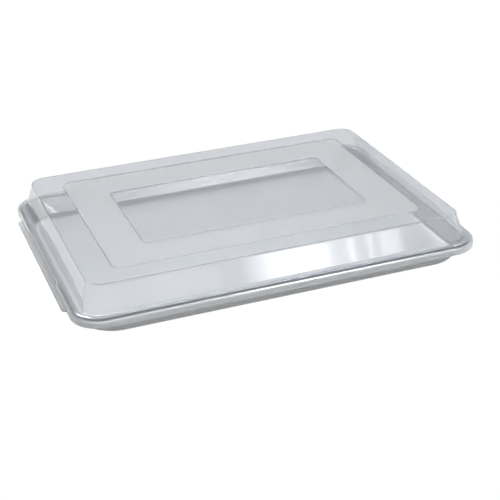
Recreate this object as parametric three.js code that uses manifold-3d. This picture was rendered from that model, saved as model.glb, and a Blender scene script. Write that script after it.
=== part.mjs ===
// A lidded half-size sheet pan: a shallow drawn aluminium pan with a rolled rim around a steel wire,
// and a domed plastic lid that sits over the rim. Millimetres, +Z up, +X along the long side.
// The origin is under the middle of the pan, on the surface it stands on.
import * as THREE from "three";
import { mergeVertices } from "three/addons/utils/BufferGeometryUtils.js";
import Module from "manifold-3d";

const wasm = await Module();
wasm.setup();

// The pan, measured over its rolled rim.
const PAN_LENGTH = 458;
const PAN_WIDTH = 328;
const RIM_TOP = 25.3;
const RIM_CORNER = 31;
const SHEET = 1;
const BEAD_RADIUS = 3.8;
const CURL_END_DEG = 300;
const WALL_DRAFT_DEG = 12;
const FLOOR_FILLET = 5;
const FLOOR_CORNER = 38;
const WIRE_RADIUS = 2.4;

// The lid, measured over its skirt, which hangs outside the pan's rim. Insets are from the skirt.
// The ledge between the skirt and the dome is a little wider on the short ends.
const LID_LENGTH = 463.5;
const LID_WIDTH = 333;
const LID_TOP = 56;
const LIP_HEIGHT = 16;
const LEDGE_HEIGHT = 26.8;
const LID_WALL = 1.2;
const SKIRT_CORNER = 33;
const SHOULDER_RADIUS = 5;
const GRIP_SHOULDER_RADIUS = 1.8;
const DOME_FOOT_INSET = 10.3;
const LEDGE_END_EXTRA = 1.75;
const DOME_FOOT_CORNER = 20;
const DOME_FOOT_FILLET = 1.4;
const DOME_TOP_INSET = 18.2;
const DOME_TOP_CORNER = 17;
const DOME_TOP_FILLET = 2;

// Two rectangular panels are stepped down into the top of the dome, one inside the other.
const OUTER_PANEL = { length: 356.6, width: 237.8, corner: 10, depth: 1.1, slope: 1.2 };
const CENTRE_PANEL = { length: 262.4, width: 142.6, corner: 5, depth: 2.6, slope: 2 };

// A flat finger tab runs along the bottom of the skirt on each short end.
const TAB = { reach: 4.25, halfWidth: 117.5, corner: 5, thickness: 1.4, bite: 0.8 };

const CORNER_STEPS = 8;
const SHOULDER_STEPS = 4;
const FILLET_STEPS = 4;
const EDGE_STEPS = 2;
const BEAD_STEPS = 14;
const WIRE_SIDES = 12;
const WELD_DISTANCE = 1e-3;

// The squared grip in the middle of each short end: where it starts, is full, stays full and ends,
// as shares of half the straight side.
const GRIP_STATIONS = [-0.545, -0.495, 0.495, 0.545];
const GRIP_FULL = [false, true, true, false];

const radians = THREE.MathUtils.degToRad;

// A ring is one level of a rounded rectangle: half sizes x and y, height z and corner radius.
// grip, where a ring has it, is the { x, z } that the ring takes in the middle of its short sides.
function ringPoints({ x, y, z, corner, grip }) {
  const straightX = x - corner;
  const straightY = y - corner;
  const points = [];
  for (const side of [1, -1]) {
    GRIP_STATIONS.forEach((share, i) => {
      const place = grip && GRIP_FULL[i] ? grip : { x, z };
      points.push(new THREE.Vector3(side * place.x, side * share * straightY, place.z));
    });
    for (const quarter of [0, 1]) {
      const start = (side > 0 ? 0 : Math.PI) + (quarter * Math.PI) / 2;
      const centreX = (quarter ? -side : side) * straightX;
      const arc = new THREE.EllipseCurve(
        centreX, side * straightY, corner, corner, start, start + Math.PI / 2,
      );
      for (const p of arc.getPoints(CORNER_STEPS)) points.push(new THREE.Vector3(p.x, p.y, z));
    }
  }
  return points;
}

// Joins rings into one skin. Rings run outwards over the top and back underneath.
// An open run is closed by a flat cap at its first and last ring, a closed run by joining them.
function loft(rings, closed = false) {
  const outlines = rings.map(ringPoints);
  const count = outlines[0].length;
  const corners = [];
  const spans = closed ? outlines.length : outlines.length - 1;
  for (let i = 0; i < spans; i++) {
    const here = outlines[i];
    const next = outlines[(i + 1) % outlines.length];
    for (let j = 0; j < count; j++) {
      const k = (j + 1) % count;
      corners.push(here[j], next[j], next[k], here[j], next[k], here[k]);
    }
  }
  if (!closed) {
    const first = outlines[0];
    const last = outlines[outlines.length - 1];
    const top = new THREE.Vector3(0, 0, rings[0].z);
    const bottom = new THREE.Vector3(0, 0, rings[rings.length - 1].z);
    for (let j = 0; j < count; j++) {
      const k = (j + 1) % count;
      corners.push(top, first[j], first[k], bottom, last[k], last[j]);
    }
  }
  return new THREE.BufferGeometry().setFromPoints(corners);
}

// The shift of each point of a section, { x, z }, that moves its line by a wall's thickness to the
// right of the way it runs, with mitred corners. The first point moves straight down.
function wallShifts(section, thickness) {
  const normals = section.slice(1).map((point, i) => {
    const run = new THREE.Vector2(point.x - section[i].x, point.z - section[i].z).normalize();
    return new THREE.Vector2(run.y, -run.x);
  });
  return section.map((_, i) => {
    const before = i > 0 ? normals[i - 1] : new THREE.Vector2(0, -1);
    const after = i < normals.length ? normals[i] : before;
    const middle = before.clone().add(after).normalize();
    return middle.multiplyScalar(thickness / middle.dot(after));
  });
}

// A thin shell of even thickness under a run of rings.
function shell(rings, thickness) {
  const shifts = wallShifts(rings, thickness);
  const gripShifts = wallShifts(rings.map((ring) => ring.grip ?? ring), thickness);
  const under = rings.map((ring, i) => ({
    x: ring.x + shifts[i].x,
    y: ring.y + shifts[i].x,
    z: ring.z + shifts[i].y,
    corner: ring.corner + shifts[i].x,
    grip: ring.grip && { x: ring.grip.x + gripShifts[i].x, z: ring.grip.z + gripShifts[i].y },
  }));
  return loft([...rings, ...under.reverse()]);
}

// Points on an arc in a section, from one angle to another, in degrees from outwards (+x) upwards.
function sectionArc(centreX, centreZ, radius, fromDeg, toDeg, steps) {
  return Array.from({ length: steps + 1 }, (_, i) => {
    const angle = radians(fromDeg + ((toDeg - fromDeg) * i) / steps);
    return { x: centreX + radius * Math.cos(angle), z: centreZ + radius * Math.sin(angle) };
  });
}

// The pan's rings follow from a section through its short end: the long side is the same, moved.
function panRing(point, corner) {
  const y = point.x - PAN_LENGTH / 2 + PAN_WIDTH / 2;
  return { x: point.x, y, z: point.z, corner };
}

// Around the rim the corners of all rings share one centre.
function rimRing(point) {
  return panRing(point, RIM_CORNER - (PAN_LENGTH / 2 - point.x));
}

function beadCentre() {
  return { x: PAN_LENGTH / 2 - BEAD_RADIUS, z: RIM_TOP - BEAD_RADIUS };
}

// Drawn pan: flat floor, filleted and drafted wall, rim rolled outwards over the wire.
function panShell() {
  const bead = beadCentre();
  const draft = radians(WALL_DRAFT_DEG);
  const filletCentreZ = SHEET + FLOOR_FILLET;
  const wallRise = bead.z - filletCentreZ + (BEAD_RADIUS + FLOOR_FILLET) * Math.sin(draft);
  const wallTopX = bead.x - BEAD_RADIUS * Math.cos(draft);
  const filletCentreX = wallTopX - wallRise * Math.tan(draft) - FLOOR_FILLET * Math.cos(draft);
  const fillet = sectionArc(filletCentreX, filletCentreZ, FLOOR_FILLET, -90, -WALL_DRAFT_DEG, FILLET_STEPS);
  const curl = sectionArc(bead.x, bead.z, BEAD_RADIUS, 180 - WALL_DRAFT_DEG, 180 - CURL_END_DEG, BEAD_STEPS);
  return shell([...fillet.map((p) => panRing(p, FLOOR_CORNER)), ...curl.map(rimRing)], SHEET);
}

// Round wire bent to the rim's outline, with its ends butted together.
function rimWire() {
  const bead = beadCentre();
  const around = sectionArc(bead.x, bead.z, WIRE_RADIUS, 360, 360 / WIRE_SIDES, WIRE_SIDES - 1);
  return loft(around.map(rimRing), true);
}

function lidRing(inset, z, corner, endExtra = 0) {
  return { x: LID_LENGTH / 2 - inset - endExtra, y: LID_WIDTH / 2 - inset, z, corner };
}

// The sloping edge of a panel that is stepped down: its bottom ring and its top ring.
function panelRings({ length, width, corner, depth, slope }, top) {
  const ring = (out, z) => ({ x: length / 2 + out, y: width / 2 + out, z, corner: corner + out });
  return [ring(-slope / 2, top - depth), ring(slope / 2, top)];
}

// The skirt's shoulder rolls from the ledge down to the skirt's face. It is squarer at the grips.
function shoulderRings() {
  return Array.from({ length: SHOULDER_STEPS + 1 }, (_, i) => {
    const angle = (Math.PI / 2) * (1 - i / SHOULDER_STEPS);
    const [roll, gripRoll] = [SHOULDER_RADIUS, GRIP_SHOULDER_RADIUS].map((radius) => ({
      inset: radius * (1 - Math.cos(angle)),
      z: LEDGE_HEIGHT - radius * (1 - Math.sin(angle)),
    }));
    const grip = { x: LID_LENGTH / 2 - gripRoll.inset, z: gripRoll.z };
    return { ...lidRing(roll.inset, roll.z, SKIRT_CORNER - roll.inset), grip };
  });
}

// Rings around one edge of the dome. Its section starts, turns and ends at three points, and the
// corners of its rings share one centre.
function edgeRings([start, turn, end], corner) {
  const curve = new THREE.QuadraticBezierCurve(start, turn, end);
  const ring = (p) => lidRing(p.x, p.y, corner + turn.x - p.x, LEDGE_END_EXTRA);
  return curve.getPoints(EDGE_STEPS).map(ring);
}

// The dome's wall: a small fillet at the top, a straight draft, a small fillet at the foot.
function domeRings() {
  const draft = (DOME_TOP_INSET - DOME_FOOT_INSET) / (LID_TOP - LEDGE_HEIGHT);
  const point = (inset, z) => new THREE.Vector2(inset, z);
  const top = [
    point(DOME_TOP_INSET + DOME_TOP_FILLET, LID_TOP),
    point(DOME_TOP_INSET, LID_TOP),
    point(DOME_TOP_INSET - DOME_TOP_FILLET * draft, LID_TOP - DOME_TOP_FILLET),
  ];
  const foot = [
    point(DOME_FOOT_INSET + DOME_FOOT_FILLET * draft, LEDGE_HEIGHT + DOME_FOOT_FILLET),
    point(DOME_FOOT_INSET, LEDGE_HEIGHT),
    point(DOME_FOOT_INSET - DOME_FOOT_FILLET, LEDGE_HEIGHT),
  ];
  return [...edgeRings(top, DOME_TOP_CORNER), ...edgeRings(foot, DOME_FOOT_CORNER)];
}

// One finger tab: a flat strip with rounded outer corners, biting into the skirt's lip.
function tab(side) {
  const inner = LID_LENGTH / 2 - TAB.bite;
  const outer = LID_LENGTH / 2 + TAB.reach;
  const shape = new THREE.Shape();
  shape.moveTo(inner, -TAB.halfWidth);
  shape.absarc(outer - TAB.corner, TAB.corner - TAB.halfWidth, TAB.corner, -Math.PI / 2, 0);
  shape.absarc(outer - TAB.corner, TAB.halfWidth - TAB.corner, TAB.corner, 0, Math.PI / 2);
  shape.lineTo(inner, TAB.halfWidth);
  shape.closePath();
  const options = { depth: TAB.thickness, bevelEnabled: false, curveSegments: 6 };
  const strip = new THREE.ExtrudeGeometry(shape, options).translate(0, 0, LIP_HEIGHT);
  return side > 0 ? strip : strip.rotateZ(Math.PI);
}

// A closed geometry as a solid that can be joined to another, and back.
function solidOf(geometry) {
  const bare = new THREE.BufferGeometry().setAttribute("position", geometry.getAttribute("position"));
  if (geometry.index) bare.setIndex(geometry.index);
  const merged = mergeVertices(bare, WELD_DISTANCE);
  const vertProperties = merged.attributes.position.array;
  const triVerts = new Uint32Array(merged.index.array);
  return new wasm.Manifold(new wasm.Mesh({ numProp: 3, vertProperties, triVerts }));
}

function geometryOf(solid) {
  const { vertProperties, triVerts } = solid.getMesh();
  const geometry = new THREE.BufferGeometry();
  geometry.setAttribute("position", new THREE.BufferAttribute(vertProperties, 3));
  geometry.setIndex(new THREE.BufferAttribute(triVerts, 1));
  return geometry;
}

// One plastic moulding: stepped top, dome wall, ledge over the rim, skirt outside it, two tabs.
function lid() {
  const rings = [
    ...panelRings(CENTRE_PANEL, LID_TOP - OUTER_PANEL.depth),
    ...panelRings(OUTER_PANEL, LID_TOP),
    ...domeRings(),
    ...shoulderRings(),
    lidRing(0, LIP_HEIGHT, SKIRT_CORNER),
  ];
  const moulding = solidOf(shell(rings, LID_WALL));
  return geometryOf([1, -1].reduce((whole, side) => whole.add(solidOf(tab(side))), moulding));
}

function piece(name, geometry, look) {
  geometry.computeVertexNormals();
  const mesh = new THREE.Mesh(geometry, new THREE.MeshStandardMaterial({ flatShading: true, ...look }));
  mesh.name = name;
  return mesh;
}

const sheetPan = new THREE.Group();
sheetPan.add(
  piece("pan_shell", panShell(), { color: 0xc9cbcd, roughness: 0.38, metalness: 1 }),
  piece("rim_wire", rimWire(), { color: 0x9a9c9e, roughness: 0.45, metalness: 1 }),
  piece("lid", lid(), { color: 0xdfe5ea, roughness: 0.18, metalness: 0, transparent: true, opacity: 0.4 }),
);

export default sheetPan;
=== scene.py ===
# %% [markdown]
# # A lidded half-size sheet pan
# The real object is three pieces: a shallow pan drawn from aluminium sheet, a steel wire that the pan's rim
# is rolled around, and a clear plastic lid that drops over the rim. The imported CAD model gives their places
# and sizes. Its shapes are right but coarse, so each piece is built again here as a finer mesh in the same
# place. The rest of the work is in the finishes: satin aluminium, and plastic that is seen through.

# %% Load the frame
import math
from collections import namedtuple

import bpy
from mathutils import Matrix, Vector


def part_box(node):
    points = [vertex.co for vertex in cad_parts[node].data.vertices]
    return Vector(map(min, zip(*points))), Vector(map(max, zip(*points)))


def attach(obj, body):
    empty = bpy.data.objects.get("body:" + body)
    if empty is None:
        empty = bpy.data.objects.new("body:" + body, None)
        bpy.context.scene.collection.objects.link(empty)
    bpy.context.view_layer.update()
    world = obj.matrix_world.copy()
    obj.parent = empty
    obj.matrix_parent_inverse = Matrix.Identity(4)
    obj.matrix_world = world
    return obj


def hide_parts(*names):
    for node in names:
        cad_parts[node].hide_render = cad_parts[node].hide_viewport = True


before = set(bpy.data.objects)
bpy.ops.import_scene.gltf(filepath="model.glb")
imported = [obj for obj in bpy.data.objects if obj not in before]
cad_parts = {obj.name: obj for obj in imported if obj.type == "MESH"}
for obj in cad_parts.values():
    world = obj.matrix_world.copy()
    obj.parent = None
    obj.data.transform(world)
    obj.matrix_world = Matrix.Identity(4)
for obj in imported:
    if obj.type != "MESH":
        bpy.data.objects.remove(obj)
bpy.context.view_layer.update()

# %% [markdown]
# The camera comes first, so that every later choice can be judged from the right place. It looks down at the
# pan from the front left, from far enough away that the long sides converge only a little. A camera is an
# object whose own -Z axis looks forward, so its rotation is three directions put side by side: right, up and
# back. A small offset sideways and upwards stands in for shifting the lens.

# %% Camera
VIEW_AZIMUTH = math.radians(-20.23)
VIEW_PITCH = math.radians(26.76)
VIEW_ROLL = math.radians(-1.62)
VIEW_DISTANCE = 1.40815
VIEW_OFFSET_RIGHT = 0.01458
VIEW_OFFSET_UP = -0.0125
LENS_MM = 86.02


def add_camera():
    """Aims the camera at the middle of the pan and returns it."""
    back = Vector((
        math.sin(VIEW_AZIMUTH) * math.cos(VIEW_PITCH),
        -math.cos(VIEW_AZIMUTH) * math.cos(VIEW_PITCH),
        math.sin(VIEW_PITCH),
    ))
    level_right = Vector((math.cos(VIEW_AZIMUTH), math.sin(VIEW_AZIMUTH), 0))
    level_up = back.cross(level_right)
    right = math.cos(VIEW_ROLL) * level_right + math.sin(VIEW_ROLL) * level_up
    up = math.cos(VIEW_ROLL) * level_up - math.sin(VIEW_ROLL) * level_right
    place = back * VIEW_DISTANCE + right * VIEW_OFFSET_RIGHT + up * VIEW_OFFSET_UP
    camera = bpy.data.objects.new("camera", bpy.data.cameras.new("camera"))
    camera.data.lens = LENS_MM
    camera.matrix_world = Matrix.Translation(place) @ Matrix((right, up, back)).transposed().to_4x4()
    bpy.context.scene.collection.objects.link(camera)
    bpy.context.scene.camera = camera
    return camera


camera = add_camera()
print("camera stands at", [round(v, 3) for v in camera.location])

# %% [markdown]
# The main sizes are read from the frame. The wire's box gives its radius and the line it runs on, and the
# distance from that line to the pan's edge is the radius of the rolled rim. What a box can't say, such as the
# thickness of the sheet or the radius of a fillet, is a named value in millimetres.

# %% Sizes from the frame
MM = 0.001
pan_low, pan_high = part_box("pan_shell")
wire_low, wire_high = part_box("rim_wire")
lid_low, lid_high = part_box("lid")

wire_radius = (wire_high.z - wire_low.z) / 2
bead_x = wire_high.x - wire_radius
bead_z = (wire_high.z + wire_low.z) / 2
bead_radius = pan_high.x - bead_x
pan_end_to_side = pan_high.x - pan_high.y
print(f"rolled rim: {bead_radius / MM:.2f} mm radius around a wire of {wire_radius / MM:.2f} mm radius")

# %% [markdown]
# All three pieces are rounded rectangles at every height, like the contour lines of a tray. A `Level` is one
# such contour: half its length and width, its height, and the radius of its corners. A `Stop` is a level
# where the side view turns, with the radius of that turn. So a whole moulding can be written as a short list
# of stops, and `soften` rounds every turn into a true arc.

# %% Levels, stops and soft turns
Level = namedtuple("Level", "x y z corner")
Stop = namedtuple("Stop", "x y z corner turn_radius", defaults=(0,))
TURN_STEPS = 6
STRAIGHT = math.radians(0.5)


def moved(level, out, up):
    """The level grown outwards by out and raised by up. Its corners keep their centres."""
    return Level(level.x + out, level.y + out, level.z + up, level.corner + out)


def heading(start, end):
    """The way from one level to the next in the side view, as an angle."""
    return math.atan2(end.z - start.z, end.x - start.x)


def soft_turn(stop, angle_in, angle_out):
    """The levels of one arc that replaces a sharp turn."""
    turn = (angle_out - angle_in + math.pi) % math.tau - math.pi
    if abs(turn) < STRAIGHT or stop.turn_radius == 0:
        return [moved(stop, 0, 0)]
    lead = stop.turn_radius * math.tan(abs(turn) / 2)
    radius = math.copysign(stop.turn_radius, turn)
    levels = []
    for i in range(TURN_STEPS + 1):
        angle = angle_in + turn * i / TURN_STEPS
        out = radius * (math.sin(angle) - math.sin(angle_in)) - lead * math.cos(angle_in)
        up = radius * (math.cos(angle_in) - math.cos(angle)) - lead * math.sin(angle_in)
        levels.append(moved(stop, out, up))
    return levels


def soften(stops):
    """All levels of a section, with its turns rounded."""
    levels = [moved(stops[0], 0, 0)]
    for before, stop, after in zip(stops, stops[1:], stops[2:]):
        levels += soft_turn(stop, heading(before, stop), heading(stop, after))
    return levels + [moved(stops[-1], 0, 0)]


print("a square turn becomes", len(soft_turn(Stop(0, 0, 0, 0, 1), 0, math.pi / 2)), "levels")

# %% [markdown]
# Sheet metal and moulded plastic have an even wall. The other side of the wall is the same run of levels, each
# moved at right angles to the run by the thickness. Where the run bends, the move is along the middle of the
# two directions and a little longer, which is how a mitre joint works.

# %% The other side of a wall
def other_side(levels, thickness):
    """The levels moved by the wall's thickness to the right of the way they run."""
    ways = [heading(a, b) for a, b in zip(levels, levels[1:])]
    shifted = []
    for i, level in enumerate(levels):
        before = ways[max(i - 1, 0)]
        after = ways[min(i, len(ways) - 1)]
        half_bend = ((after - before + math.pi) % math.tau - math.pi) / 2
        middle = before + half_bend
        step = thickness / math.cos(half_bend)
        shifted.append(moved(level, step * math.sin(middle), -step * math.cos(middle)))
    return shifted


# %% [markdown]
# A level becomes a ring of points, and neighbouring rings are joined by four-sided faces. This is lofting.
# The lid's short ends carry a finger tab and a squared grip that the long sides don't have. So a ring can take
# its points on the short ends from other levels, one for each station along the end.

# %% Rings and skins
CORNER_STEPS = 18
FLAT_WEIGHT = 80


def ring_points(level, stations=(), end_levels=()):
    """A ring, anticlockwise from above. stations are shares of half the straight short side."""
    points = []
    straight_x = level.x - level.corner
    straight_y = level.y - level.corner
    for side in (1, -1):
        for share, end in zip(stations, end_levels):
            points.append((side * end.x, side * share * straight_y, end.z))
        for quarter in (0, 1):
            centre_x = straight_x * side * (1 - 2 * quarter)
            for i in range(CORNER_STEPS + 1):
                angle = (i / CORNER_STEPS + quarter) * math.pi / 2 + (0 if side > 0 else math.pi)
                x = centre_x + level.corner * math.cos(angle)
                y = side * straight_y + level.corner * math.sin(angle)
                points.append((x, y, level.z))
    return points


def skin(name, rings, closed=False):
    """A mesh object from rings. An open run gets a cap on its first and last ring."""
    count = len(rings[0])
    spans = len(rings) if closed else len(rings) - 1
    faces = []
    for i in range(spans):
        here = i * count
        after = (i + 1) % len(rings) * count
        for j in range(count):
            k = (j + 1) % count
            faces.append((here + j, after + j, after + k, here + k))
    if not closed:
        last = (len(rings) - 1) * count
        faces.append(tuple(range(count)))
        faces.append(tuple(range(last + count - 1, last - 1, -1)))
    mesh = bpy.data.meshes.new(name)
    mesh.from_pydata([point for ring in rings for point in ring], [], faces)
    mesh.validate()
    mesh.shade_smooth()
    piece = bpy.data.objects.new(name, mesh)
    bpy.context.scene.collection.objects.link(piece)
    piece.modifiers.new("even shading on flats", "WEIGHTED_NORMAL").weight = FLAT_WEIGHT
    print(f"{name}: {len(mesh.vertices)} points, {len(mesh.polygons)} faces")
    return piece


# %% [markdown]
# The pan is pressed from one sheet, 1 mm thick. Its floor isn't perfectly flat: the press leaves it a fraction
# of a millimetre higher in the middle, and that gives the reflections on it their gentle curve. The wall
# leans outwards so that the pan comes out of the press, and the rim is rolled around the wire, leaving a
# narrow gap underneath. The list starts in the middle of the floor and ends at the edge inside the roll.

# %% The pan
SHEET = 1.0 * MM
WALL_DRAFT = math.radians(12)
FLOOR_FILLET = 5.0 * MM
FLOOR_CORNER = 38.0 * MM
RIM_CORNER = 31.0 * MM
FLOOR_CROWN = 0.35 * MM
CURL_START = math.pi - WALL_DRAFT
CURL_END = math.radians(-120)
CURL_STEPS = 30
INNER_SHARES = (0.1, 0.3, 0.5, 0.7, 0.85, 0.95)


def pan_level(x, z, corner):
    return Stop(x, x - pan_end_to_side, z, corner)


def rim_level(x, z):
    """Around the rim the corners of all levels share one centre."""
    return pan_level(x, z, RIM_CORNER - (pan_high.x - x))


def bead_level(angle):
    """The level at an angle around the rolled rim, seen from the side."""
    return rim_level(bead_x + bead_radius * math.cos(angle), bead_z + bead_radius * math.sin(angle))


def shrunk(level, share, rise):
    """The level scaled towards the middle, and raised most in the middle."""
    return Level(level.x * share, level.y * share, level.z + rise * (1 - share**2), level.corner * share)


def pan_section():
    wall_top = bead_level(CURL_START)
    foot_x = wall_top.x - (wall_top.z - SHEET) * math.tan(WALL_DRAFT)
    foot = pan_level(foot_x, SHEET, FLOOR_CORNER)._replace(turn_radius=FLOOR_FILLET)
    floor_edge = moved(foot, -2 * FLOOR_FILLET, 0)
    floor = [shrunk(floor_edge, share, FLOOR_CROWN) for share in INNER_SHARES]
    wall = soften([floor_edge, foot, wall_top])
    curl = []
    for i in range(1, CURL_STEPS + 1):
        angle = CURL_START + (CURL_END - CURL_START) * i / CURL_STEPS
        curl.append(bead_level(angle))
    return floor + wall + [moved(level, 0, 0) for level in curl]


def make_pan():
    food_side = pan_section()
    levels = food_side + other_side(food_side, SHEET)[::-1]
    pan = skin("pan", [ring_points(level) for level in levels])
    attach(pan, "pan")
    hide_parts("pan_shell")
    return pan


pan = make_pan()

# %% [markdown]
# The wire is one length, bent to the rim's outline, with its two ends cut square and butted together in the
# middle of the far long side. It could be a curve with a round bevel, but its ends are easier to finish as a
# mesh: circles are set along the path, and the last one at each end is a little smaller, like a filed edge.

# %% The rim wire
WIRE_SIDES = 20
WIRE_END_GAP = 0.3 * MM
WIRE_CHAMFER = 0.35 * MM


def wire_path():
    """Places along the wire with the direction it runs, starting and ending at the butt joint."""
    middle_line = Level(bead_x, bead_x - pan_end_to_side, bead_z, RIM_CORNER - bead_radius)
    corners = [Vector(p) for p in ring_points(middle_line)]
    per_corner = CORNER_STEPS + 1
    corners = corners[per_corner:] + corners[:per_corner]
    joint = Vector((0, middle_line.y, bead_z))
    gap = Vector((WIRE_END_GAP / 2, 0, 0))
    chamfer = Vector((WIRE_CHAMFER, 0, 0))
    return [joint - gap, joint - gap - chamfer, *corners, joint + gap + chamfer, joint + gap]


def make_wire():
    path = wire_path()
    sections = []
    for i, place in enumerate(path):
        run = (path[min(i + 1, len(path) - 1)] - path[max(i - 1, 0)]).normalized()
        outwards = run.cross(Vector((0, 0, 1)))
        radius = wire_radius - (WIRE_CHAMFER if i in (0, len(path) - 1) else 0)
        circle = []
        for j in range(WIRE_SIDES):
            angle = -math.tau * j / WIRE_SIDES
            circle.append(place + radius * (math.cos(angle) * outwards + math.sin(angle) * Vector((0, 0, 1))))
        sections.append(circle)
    wire = skin("rim_wire_fine", sections)
    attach(wire, "pan")
    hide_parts("rim_wire")
    return wire


wire = make_wire()

# %% [markdown]
# The lid is one plastic moulding, 1.2 mm thick. From the middle outwards it has a sunken centre panel, a
# shallower frosted panel around it, a clear outer ring, the wall of the dome, a ledge that rests over the
# rim, a rolled shoulder, and a skirt. Both panels stiffen the thin top. Each line of the list below is one
# turn in the side view, with its radius. Outward turns are kept wider than the wall is thick, because the
# inside of such a turn would otherwise fold over itself.

# %% The lid's stops
LID_WALL = 1.2 * MM
LIP_Z = lid_low.z
LEDGE_Z = 26.8 * MM
TAB_REACH = 4.25 * MM
TAB_THICKNESS = 1.4 * MM
SKIRT_CORNER = 33.0 * MM
SHOULDER_RADIUS = 5.0 * MM
GRIP_SHOULDER_RADIUS = 1.8 * MM
DOME_FOOT = Stop(12.05 * MM, 10.3 * MM, LEDGE_Z, 20.0 * MM, 1.8 * MM)
DOME_TOP = Stop(19.95 * MM, 18.2 * MM, lid_high.z, 17.0 * MM, 2.6 * MM)
PANEL_TOP_RADIUS = 1.5 * MM
PANEL_FOOT_RADIUS = 0.5 * MM
Panel = namedtuple("Panel", "x y corner depth slope")
OUTER_PANEL = Panel(178.3 * MM, 118.9 * MM, 10.0 * MM, 1.1 * MM, 1.2 * MM)
CENTRE_PANEL = Panel(131.2 * MM, 71.3 * MM, 5.0 * MM, 2.6 * MM, 2.0 * MM)
PANEL_SAG = 0.3 * MM

skirt_x = lid_high.x - TAB_REACH
skirt_y = lid_high.y


def panel_stops(panel, top_z):
    """The foot and the top of the slope around a sunken panel."""
    line = Stop(panel.x, panel.y, top_z, panel.corner)
    foot = moved(line, -panel.slope / 2, -panel.depth)
    top = moved(line, panel.slope / 2, 0)
    return [Stop(*foot, PANEL_FOOT_RADIUS), Stop(*top, PANEL_TOP_RADIUS)]


def inset_stop(stop):
    """A stop that is given by its distance in from the skirt."""
    return stop._replace(x=skirt_x - stop.x, y=skirt_y - stop.y)


def lid_stops(shoulder_radius, skirt_end_z):
    centre = panel_stops(CENTRE_PANEL, lid_high.z - OUTER_PANEL.depth)
    return [
        shrunk(centre[0], INNER_SHARES[-1], -PANEL_SAG),
        *centre,
        *panel_stops(OUTER_PANEL, lid_high.z),
        inset_stop(DOME_TOP),
        inset_stop(DOME_FOOT),
        Stop(skirt_x, skirt_y, LEDGE_Z, SKIRT_CORNER, shoulder_radius),
        Stop(skirt_x, skirt_y, skirt_end_z, SKIRT_CORNER),
    ]


print(f"skirt: {2 * skirt_x / MM:.1f} by {2 * skirt_y / MM:.1f} mm, lip at {LIP_Z / MM:.1f} mm")

# %% [markdown]
# The lip at the bottom of the skirt is rounded. Along most of each short end it grows outwards into a flat tab,
# which a finger lifts. Both are the same few points: the edge of the tab is half a circle, and where the tab
# shrinks to nothing, what is left of the circle is the round of the lip. So every section has the same number
# of levels, whatever its tab, and the sections can be joined along the end.

# %% The lip and the finger tab
LIP_STEPS = 6
TAB_ROUND = TAB_THICKNESS / 2
ABOVE_THE_ROUND = 0.05 * MM


def lip_levels(reach):
    """From the outside of the skirt, around the edge of the tab or the lip, to its inner edge."""
    skirt = Level(skirt_x, skirt_y, LIP_Z, SKIRT_CORNER)
    start = math.acos(max(0, 1 - reach / TAB_ROUND))
    levels = [moved(skirt, 0, TAB_ROUND * (1 + math.sin(start)) + ABOVE_THE_ROUND)]
    for i in range(LIP_STEPS + 1):
        angle = start + (-math.pi / 2 - start) * i / LIP_STEPS
        out = reach + TAB_ROUND * (math.cos(angle) - 1)
        levels.append(moved(skirt, out, TAB_ROUND * (1 + math.sin(angle))))
    return levels + [moved(skirt, -LID_WALL, (LID_WALL - TAB_ROUND) / 2)]


def lid_section(shoulder_radius=SHOULDER_RADIUS, reach=0):
    """All levels of the lid: outside from the middle to the lip, then inside and back."""
    stops = lid_stops(shoulder_radius, LIP_Z + 1.5 * TAB_THICKNESS)
    middle = [shrunk(panel_stops(CENTRE_PANEL, lid_high.z - OUTER_PANEL.depth)[0], share, -PANEL_SAG)
              for share in INNER_SHARES[:-1]]
    outside = middle + soften(stops)
    return outside, lip_levels(reach), other_side(outside, LID_WALL)[::-1]


print("a section of the lid has", sum(len(part) for part in lid_section()), "levels")

# %% [markdown]
# Along each short end the section changes twice. The tab ends in rounded corners, so its reach follows a
# circle there. In the middle, the shoulder is squarer over a stretch about as wide as a hand, for grip. The
# stations are placed where something changes, and nowhere else.

# %% Stations along the short ends
TAB_HALF_WIDTH = 117.5 * MM
TAB_CORNER = 5.0 * MM
GRIP_FULL_TO = 66.0 * MM
GRIP_ENDS_AT = 73.0 * MM
STATION_STEPS = 6


def tab_reach_at(y):
    into_corner = abs(y) - (TAB_HALF_WIDTH - TAB_CORNER)
    if into_corner <= 0:
        return TAB_REACH
    if into_corner >= TAB_CORNER:
        return 0
    return max(0, TAB_REACH - TAB_CORNER + math.sqrt(TAB_CORNER**2 - into_corner**2))


def grip_at(y):
    """0 outside the grip, 1 in it, with a smooth change between."""
    share = min(1, max(0, (GRIP_ENDS_AT - abs(y)) / (GRIP_ENDS_AT - GRIP_FULL_TO)))
    return share * share * (3 - 2 * share)


def station_places():
    """Places along +y and -y: the round corners of the tab, and the ends of the grip."""
    places = []
    for i in range(STATION_STEPS + 1):
        quarter = math.pi / 2 * i / STATION_STEPS
        places.append(TAB_HALF_WIDTH - TAB_CORNER + TAB_CORNER * math.sin(quarter))
        places.append(GRIP_FULL_TO + (GRIP_ENDS_AT - GRIP_FULL_TO) * i / STATION_STEPS)
    return sorted([-y for y in places] + places)


straight_y = skirt_y - SKIRT_CORNER
end_places = station_places()
print(len(end_places), "stations on each short end, over", round(2 * straight_y / MM), "mm of straight side")

# %% The lid
def make_lid():
    plain = [level for part in lid_section() for level in part]
    ends = []
    for y in end_places:
        grip = grip_at(y)
        shoulder = SHOULDER_RADIUS + (GRIP_SHOULDER_RADIUS - SHOULDER_RADIUS) * grip
        ends.append([level for part in lid_section(shoulder, tab_reach_at(y)) for level in part])
    shares = [y / straight_y for y in end_places]
    rings = []
    for i, level in enumerate(plain):
        rings.append(ring_points(level, shares, [section[i] for section in ends]))
    lid = skin("lid_fine", rings)
    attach(lid, "cover")
    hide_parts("lid")
    return lid


lid = make_lid()

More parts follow.
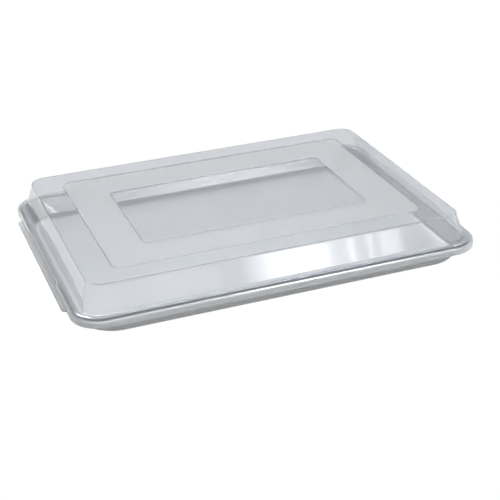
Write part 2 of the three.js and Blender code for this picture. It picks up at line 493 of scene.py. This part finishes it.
# %% [markdown]
# Two effects are shared by several finishes, so each is a node group with named sockets. The first is the
# trace of being handled: soft smudges that change the shine, and fine scratches. The second is the grain that
# rolling and drawing leave in metal, which is noise stretched along one direction.

# %% Helpers for node trees
def add_node(tree, kind, settings=None, **inputs):
    """A node with its settings and inputs. An input is a value or another node's socket."""
    node = tree.nodes.new(kind)
    for name, value in (settings or {}).items():
        setattr(node, name, value)
    for name, value in inputs.items():
        socket = node.inputs[int(name[1:])] if name[0] == "_" else node.inputs[name.replace("_", " ")]
        if isinstance(value, bpy.types.NodeSocket):
            tree.links.new(value, socket)
        else:
            socket.default_value = value
    return node


def maths(tree, operation, *values):
    """A Math node's result."""
    named = {f"_{i}": value for i, value in enumerate(values)}
    return add_node(tree, "ShaderNodeMath", {"operation": operation}, **named).outputs[0]


def new_group(name, inputs, outputs):
    """An empty node group, with its input and output nodes."""
    group = bpy.data.node_groups.new(name, "ShaderNodeTree")
    for socket_name, kind in inputs.items():
        group.interface.new_socket(socket_name, in_out="INPUT", socket_type=kind)
    for socket_name, kind in outputs.items():
        group.interface.new_socket(socket_name, in_out="OUTPUT", socket_type=kind)
    return group, group.nodes.new("NodeGroupInput").outputs, group.nodes.new("NodeGroupOutput").inputs


# %% Handling marks
def handling_marks():
    number = "NodeSocketFloat"
    group, given, result = new_group(
        "handling marks",
        {"Place": "NodeSocketVector", "Smudge Size": number, "Scratch Size": number},
        {"Smudge": number, "Scratch": number},
    )
    smudge = add_node(
        group, "ShaderNodeTexNoise", Vector=given["Place"], Scale=given["Smudge Size"], Detail=3.0,
    )
    soft = add_node(group, "ShaderNodeMapRange", _1=0.35, _2=0.7)
    group.links.new(smudge.outputs[0], soft.inputs[0])
    turned = add_node(group, "ShaderNodeMapping", Vector=given["Place"], Rotation=(0, 0, 0.6), Scale=(1, 9, 1))
    lines = add_node(
        group, "ShaderNodeTexNoise", Vector=turned.outputs[0], Scale=given["Scratch Size"], Detail=2.0,
        Distortion=0.4,
    )
    fine = add_node(group, "ShaderNodeMapRange", _1=0.62, _2=0.72)
    group.links.new(lines.outputs[0], fine.inputs[0])
    group.links.new(soft.outputs[0], result["Smudge"])
    group.links.new(fine.outputs[0], result["Scratch"])
    return group


marks = handling_marks()
print("handling marks give", [item.name for item in marks.interface.items_tree if item.in_out == "OUTPUT"])

# %% Drawn grain
def drawn_grain():
    number = "NodeSocketFloat"
    group, given, result = new_group(
        "drawn grain",
        {"Place": "NodeSocketVector", "Along": number, "Across": number},
        {"Grain": number},
    )
    stretch = add_node(group, "ShaderNodeCombineXYZ", X=given["Along"], Y=given["Across"], Z=given["Across"])
    place = add_node(
        group, "ShaderNodeVectorMath", {"operation": "MULTIPLY"}, _0=given["Place"], _1=stretch.outputs[0],
    )
    noise = add_node(group, "ShaderNodeTexNoise", Vector=place.outputs[0], Scale=1.0, Detail=4.0, Roughness=0.6)
    group.links.new(noise.outputs[0], result["Grain"])
    return group


grain = drawn_grain()
print("node groups:", [group.name for group in bpy.data.node_groups])

# %% [markdown]
# Uncoated aluminium is a plain bright metal. What makes it look like a used baking pan is how the shine varies:
# the rolling grain runs along the sheet, and hands and washing leave it duller in patches. Both go into
# Roughness, and the grain also into a very shallow bump. The floor is made duller than the walls and the rim,
# so the height on the pan takes some roughness off.

# %% Satin aluminium
def place_of(tree):
    """The place on the object in metres, the same in every pose."""
    return add_node(tree, "ShaderNodeTexCoord").outputs["Object"]


def use_group(tree, group, **inputs):
    return add_node(tree, "ShaderNodeGroup", {"node_tree": group}, **inputs).outputs


def new_material(name):
    material = bpy.data.materials.new(name)
    material.use_nodes = True
    material.node_tree.nodes.clear()
    return material, material.node_tree


WALLS_SHINIER = 0.2


def satin_aluminium():
    material, tree = new_material("satin aluminium")
    place = place_of(tree)
    lines = use_group(tree, grain, Place=place, Along=18.0, Across=2400.0)["Grain"]
    mark = use_group(tree, marks, Place=place, Smudge_Size=14.0, Scratch_Size=60.0)
    colour = add_node(
        tree, "ShaderNodeMix", {"data_type": "RGBA"},
        _0=mark["Smudge"], _6=(0.85, 0.855, 0.86, 1), _7=(0.79, 0.795, 0.80, 1),
    )
    height_up = add_node(tree, "ShaderNodeSeparateXYZ", Vector=place).outputs[2]
    off_the_floor = add_node(tree, "ShaderNodeMapRange", _0=height_up, _1=2 * SHEET, _2=5 * SHEET).outputs[0]
    dull = maths(tree, "MULTIPLY_ADD", lines, 0.10, 0.36)
    dull = maths(tree, "MULTIPLY_ADD", off_the_floor, -WALLS_SHINIER, dull)
    dull = maths(tree, "MULTIPLY_ADD", mark["Smudge"], 0.08, dull)
    height = maths(tree, "MULTIPLY_ADD", mark["Scratch"], -0.5, lines)
    bump = add_node(tree, "ShaderNodeBump", Strength=0.25, Distance=0.00003, Height=height)
    surface = add_node(
        tree, "ShaderNodeBsdfPrincipled",
        Base_Color=colour.outputs[2], Metallic=1.0, Roughness=dull, Normal=bump.outputs[0],
    )
    add_node(tree, "ShaderNodeOutputMaterial", Surface=surface.outputs[0])
    return material


pan.data.materials.append(satin_aluminium())
print("pan finish:", pan.data.materials[0].name)

# %% [markdown]
# The wire is galvanised: a thin coat of zinc whose crystals show as dull grey flakes. Voronoi cells stand in
# for the flakes. The wire is drawn through a die, so it carries the same kind of grain as the sheet.

# %% Galvanised wire
def galvanised():
    material, tree = new_material("galvanised wire")
    place = place_of(tree)
    flakes = add_node(tree, "ShaderNodeTexVoronoi", Vector=place, Scale=900.0).outputs["Color"]
    shade = add_node(tree, "ShaderNodeSeparateColor", Color=flakes).outputs[0]
    lines = use_group(tree, grain, Place=place, Along=40.0, Across=1500.0)["Grain"]
    mark = use_group(tree, marks, Place=place, Smudge_Size=30.0)
    colour = add_node(
        tree, "ShaderNodeMix", {"data_type": "RGBA"},
        _0=shade, _6=(0.56, 0.57, 0.58, 1), _7=(0.68, 0.69, 0.70, 1),
    )
    dull = maths(tree, "MULTIPLY_ADD", shade, 0.15, 0.38)
    dull = maths(tree, "MULTIPLY_ADD", mark["Smudge"], 0.1, dull)
    bump = add_node(tree, "ShaderNodeBump", Strength=0.3, Distance=0.00003, Height=lines)
    surface = add_node(
        tree, "ShaderNodeBsdfPrincipled",
        Base_Color=colour.outputs[2], Metallic=1.0, Roughness=dull, Normal=bump.outputs[0],
    )
    add_node(tree, "ShaderNodeOutputMaterial", Surface=surface.outputs[0])
    return material


wire.data.materials.append(galvanised())
print("wire finish:", wire.data.materials[0].name)

# %% [markdown]
# The lid is clear, slightly milky plastic. Its wall is a real 1.2 mm thick here, so it can bend light as the
# real wall does: Transmission Weight says how much passes through, and the rest is the milky haze that any
# moulded plastic has. Alpha would be quicker, but then the wall neither bends light nor brightens at its edges.
# Light that bends keeps lamps from reaching what is inside, so for the rays that look for a lamp the wall is
# plainly transparent with a slight tint. The frosted panel is the same plastic, duller and milkier.

# %% Lid plastic
def lid_plastic(name, clearness, dullness, speckle_height):
    material, tree = new_material(name)
    place = place_of(tree)
    mark = use_group(tree, marks, Place=place, Smudge_Size=9.0)
    colour = add_node(
        tree, "ShaderNodeMix", {"data_type": "RGBA"},
        _0=mark["Smudge"], _6=(0.96, 0.97, 0.985, 1), _7=(0.94, 0.95, 0.965, 1),
    )
    dull = maths(tree, "MULTIPLY_ADD", mark["Smudge"], 0.02, dullness)
    speckle = add_node(tree, "ShaderNodeTexNoise", Vector=place, Scale=1400.0, Detail=2.0).outputs[0]
    bump = add_node(tree, "ShaderNodeBump", Strength=speckle_height, Distance=0.00005, Height=speckle)
    plastic = add_node(
        tree, "ShaderNodeBsdfPrincipled",
        Base_Color=colour.outputs[2], Roughness=dull, IOR=1.5, Transmission_Weight=clearness,
        Normal=bump.outputs[0],
    )
    lamp_ray = add_node(tree, "ShaderNodeLightPath").outputs["Is Shadow Ray"]
    let_through = add_node(tree, "ShaderNodeBsdfTransparent", Color=(0.88, 0.89, 0.905, 1))
    both = add_node(
        tree, "ShaderNodeMixShader", _0=lamp_ray, _1=plastic.outputs[0], _2=let_through.outputs[0],
    )
    add_node(tree, "ShaderNodeOutputMaterial", Surface=both.outputs[0])
    return material


clear = lid_plastic("clear lid plastic", clearness=0.85, dullness=0.02, speckle_height=0.02)
frosted = lid_plastic("frosted lid plastic", clearness=0.5, dullness=0.34, speckle_height=0.06)
lid.data.materials.append(clear)
lid.data.materials.append(frosted)


LEVEL_FACE = 0.99


def frost_panel():
    """The outer side of the shallow panel, between the two slopes, is frosted."""
    panel_z = lid_high.z - OUTER_PANEL.depth
    frosted_faces = 0
    for face in lid.data.polygons:
        middle = face.center
        in_outer = abs(middle.x) < OUTER_PANEL.x and abs(middle.y) < OUTER_PANEL.y
        in_centre = abs(middle.x) < CENTRE_PANEL.x and abs(middle.y) < CENTRE_PANEL.y
        on_the_panel = abs(middle.z - panel_z) < PANEL_FOOT_RADIUS and face.normal.z > LEVEL_FACE
        if in_outer and not in_centre and on_the_panel:
            face.material_index = 1
            frosted_faces += 1
    return frosted_faces


print(frost_panel(), "faces of the lid are frosted")

# %% [markdown]
# The studio is a white sweep with no corner in sight. What glossy things look like is decided by what they
# reflect, so floor and surroundings show plain white to the camera and something else to every other ray. To
# those the floor glows a little, which is painted light: more behind the pan, and most in front of it beyond a
# painted shadow that fades in from the pan's edge. That lights the skirt and leaves the lower wall of the pan
# grey.

# %% Floor
FLOOR_SIZE = 12.0
FLOOR_GAP = 0.2 * MM
# Where the painted shadow in front of the pan starts and ends, and how strong the painted glow is beyond it.
SHADE_STARTS = 1 * MM
SHADE_ENDS = 51 * MM
PAINTED_GLOW_IN_FRONT = 0.6
SEEN_WHITE = 1.02


def smooth_range(tree, value, start, end):
    """0 before start, 1 after end, and a smooth change between."""
    settings = {"interpolation_type": "SMOOTHSTEP"}
    return add_node(tree, "ShaderNodeMapRange", settings, _0=value, _1=start, _2=end).outputs[0]


def add_floor():
    mesh = bpy.data.meshes.new("floor")
    half = FLOOR_SIZE / 2
    corners = [(-half, -half, 0), (half, -half, 0), (half, half, 0), (-half, half, 0)]
    mesh.from_pydata(corners, [], [(0, 1, 2, 3)])
    floor = bpy.data.objects.new("floor", mesh)
    floor.location.z = pan_low.z - FLOOR_GAP
    bpy.context.scene.collection.objects.link(floor)
    material, tree = new_material("white sweep")
    paint = add_node(tree, "ShaderNodeBsdfDiffuse", Color=(0.95, 0.95, 0.95, 1))
    along = add_node(tree, "ShaderNodeSeparateXYZ", Vector=place_of(tree)).outputs[1]
    # Painted light: to every ray but the camera's the floor glows, from 0.1 in front up to 0.4 behind the pan.
    behind = add_node(tree, "ShaderNodeMapRange", _0=along, _1=-0.1, _2=0.5, _3=0.1, _4=0.4).outputs[0]
    # Painted shadow: in front of the pan the glow is raised further, but only from 1 mm to 51 mm out, so the
    # floor next to the pan stays darker.
    outside_painted_shadow = smooth_range(tree, along, pan_low.y - SHADE_STARTS, pan_low.y - SHADE_ENDS)
    painted_glow_share = maths(tree, "MULTIPLY_ADD", outside_painted_shadow, PAINTED_GLOW_IN_FRONT, behind)
    # The painted light itself: an emission added to the floor's white paint.
    painted_glow = add_node(tree, "ShaderNodeEmission", Color=(1.0, 0.99, 0.97, 1), Strength=painted_glow_share)
    matt = add_node(tree, "ShaderNodeAddShader", _0=paint.outputs[0], _1=painted_glow.outputs[0])
    glow = add_node(tree, "ShaderNodeEmission", Color=(1, 1, 1, 1), Strength=SEEN_WHITE)
    seen = add_node(tree, "ShaderNodeLightPath").outputs["Is Camera Ray"]
    both = add_node(tree, "ShaderNodeMixShader", _0=seen, _1=matt.outputs[0], _2=glow.outputs[0])
    add_node(tree, "ShaderNodeOutputMaterial", Surface=both.outputs[0])
    mesh.materials.append(material)


add_floor()
print("floor:", FLOOR_SIZE, "m square, shade in front of the pan ends", round(SHADE_ENDS / MM), "mm from it")

# %% [markdown]
# The surroundings decide the tone of the large flat surfaces. Seen from the front left, the flat top mirrors
# the part behind and to the right, so that part is bright. The part behind and to the left, and the part over
# the camera, stay dark, so the rounded edges get a dark line beside a bright one. Dim parts are a little bluer,
# as daylight is.

# %% Surroundings
DIMMEST = 0.04
BACK_LIGHT = 0.38
FRONT_LIGHT = 0.62


def add_surroundings():
    world = bpy.data.worlds.new("studio")
    bpy.context.scene.world = world
    world.use_nodes = True
    tree = world.node_tree
    tree.nodes.clear()
    way = add_node(tree, "ShaderNodeTexCoord").outputs["Generated"]
    parts = add_node(tree, "ShaderNodeSeparateXYZ", Vector=way).outputs
    behind = smooth_range(tree, parts[1], 0.05, 0.6)
    on_the_right = smooth_range(tree, parts[0], -0.15, 0.12)
    high = smooth_range(tree, parts[2], 0.42, 0.6)
    low = smooth_range(tree, parts[2], 0.4, 0.15)
    back_light = maths(tree, "MULTIPLY", maths(tree, "MAXIMUM", on_the_right, high), behind)
    front_light = maths(tree, "MULTIPLY", low, maths(tree, "SUBTRACT", 1.0, behind))
    light = maths(tree, "MULTIPLY_ADD", back_light, BACK_LIGHT, DIMMEST)
    light = maths(tree, "MULTIPLY_ADD", front_light, FRONT_LIGHT, light)
    tint = add_node(
        tree, "ShaderNodeMix", {"data_type": "RGBA"},
        _0=light, _6=(0.82, 0.91, 1.0, 1), _7=(1.0, 0.995, 0.985, 1),
    )
    glow = add_node(tree, "ShaderNodeBackground", Color=tint.outputs[2], Strength=light)
    seen = add_node(tree, "ShaderNodeLightPath").outputs["Is Camera Ray"]
    white = add_node(tree, "ShaderNodeBackground", Color=(1, 1, 1, 1), Strength=1.0)
    both = add_node(tree, "ShaderNodeMixShader", _0=seen, _1=glow.outputs[0], _2=white.outputs[0])
    add_node(tree, "ShaderNodeOutputWorld", Surface=both.outputs[0])


add_surroundings()
print("surroundings:", bpy.context.scene.world.name)

# %% [markdown]
# Two lamps are enough. The long narrow one above and behind draws the bright lines along the rounded edges.
# The square one overhead is the fill: it lights everything evenly, but it is left out of reflections and of
# what is seen through the lid, where it would show as a bright square.

# %% Lamps
def add_lamp(name, place, width, height, power):
    """A soft rectangular lamp that points at the pan and is never seen itself."""
    data = bpy.data.lights.new(name, "AREA")
    data.shape = "RECTANGLE"
    data.size = width
    data.size_y = height
    data.energy = power
    lamp = bpy.data.objects.new(name, data)
    lamp.location = place
    lamp.rotation_euler = (-Vector(place)).to_track_quat("-Z", "Y").to_euler()
    lamp.visible_camera = False
    bpy.context.scene.collection.objects.link(lamp)
    return lamp


edge_lamp = add_lamp("lamp above and behind", (0.2, 1.2, 1.65), 2.4, 0.45, 21.5)
fill = add_lamp("fill overhead", (0, 0, 2.2), 2.0, 2.0, 11)
fill.visible_glossy = False
fill.visible_transmission = False
print("lamps in watts:", edge_lamp.data.energy, fill.data.energy)

# %% [markdown]
# The near wall of the dome leans back, so it mirrors a narrow upright region in front of the pan. A card there,
# with bright and dark stripes across its width, gives the wall its white patch and the finer streaks to the
# right of it. A colour ramp is the simplest way to write such stripes: each stop is a place and a glow.

# %% Card in front
CARD_GLOW = 14.0
# The first two stops are the dark ends, which a new ramp already has. The others follow in order.
FRONT_STOPS = [
    (0.0, 0.0), (1.0, 0.0),
    (0.1, 0.0), (0.2, 0.3), (0.27, 0.6), (0.48, 0.65), (0.54, 0.25), (0.6, 0.2),
    (0.63, 0.5), (0.65, 0.2), (0.7, 0.15), (0.715, 0.45), (0.74, 0.15), (0.755, 0.15),
    (0.775, 0.35), (0.85, 0.3), (0.88, 0.05),
]


def add_card(name, place, width, height, stops):
    """An upright card hidden from the camera, from diffuse light and from shadows. stops give its glow across
    its width.
    """
    mesh = bpy.data.meshes.new(name)
    x, z = width / 2, height / 2
    mesh.from_pydata([(-x, 0, -z), (x, 0, -z), (x, 0, z), (-x, 0, z)], [], [(0, 1, 2, 3)])
    card = bpy.data.objects.new(name, mesh)
    card.location = place
    card.rotation_euler = Vector(place).to_track_quat("-Y", "Z").to_euler()
    for unseen in ("visible_camera", "visible_diffuse", "visible_shadow"):
        setattr(card, unseen, False)
    bpy.context.scene.collection.objects.link(card)
    material, tree = new_material(name)
    along = add_node(tree, "ShaderNodeSeparateXYZ", Vector=place_of(tree)).outputs[0]
    share = add_node(tree, "ShaderNodeMapRange", _0=along, _1=-x, _2=x).outputs[0]
    ramp = add_node(tree, "ShaderNodeValToRGB", Fac=share)
    for i, (at, glow) in enumerate(stops):
        element = ramp.color_ramp.elements[i] if i < 2 else ramp.color_ramp.elements.new(at)
        element.position = at
        element.color = (glow, glow, glow, 1)
    light = add_node(tree, "ShaderNodeEmission", Color=ramp.outputs[0], Strength=CARD_GLOW)
    add_node(tree, "ShaderNodeOutputMaterial", Surface=light.outputs[0])
    mesh.materials.append(material)


add_card("card in front", (0.85, -2.2, 0.3), 0.62, 1.1, FRONT_STOPS)
bpy.context.scene.view_settings.view_transform = "Standard"
print("card in front:", len(FRONT_STOPS), "stops")
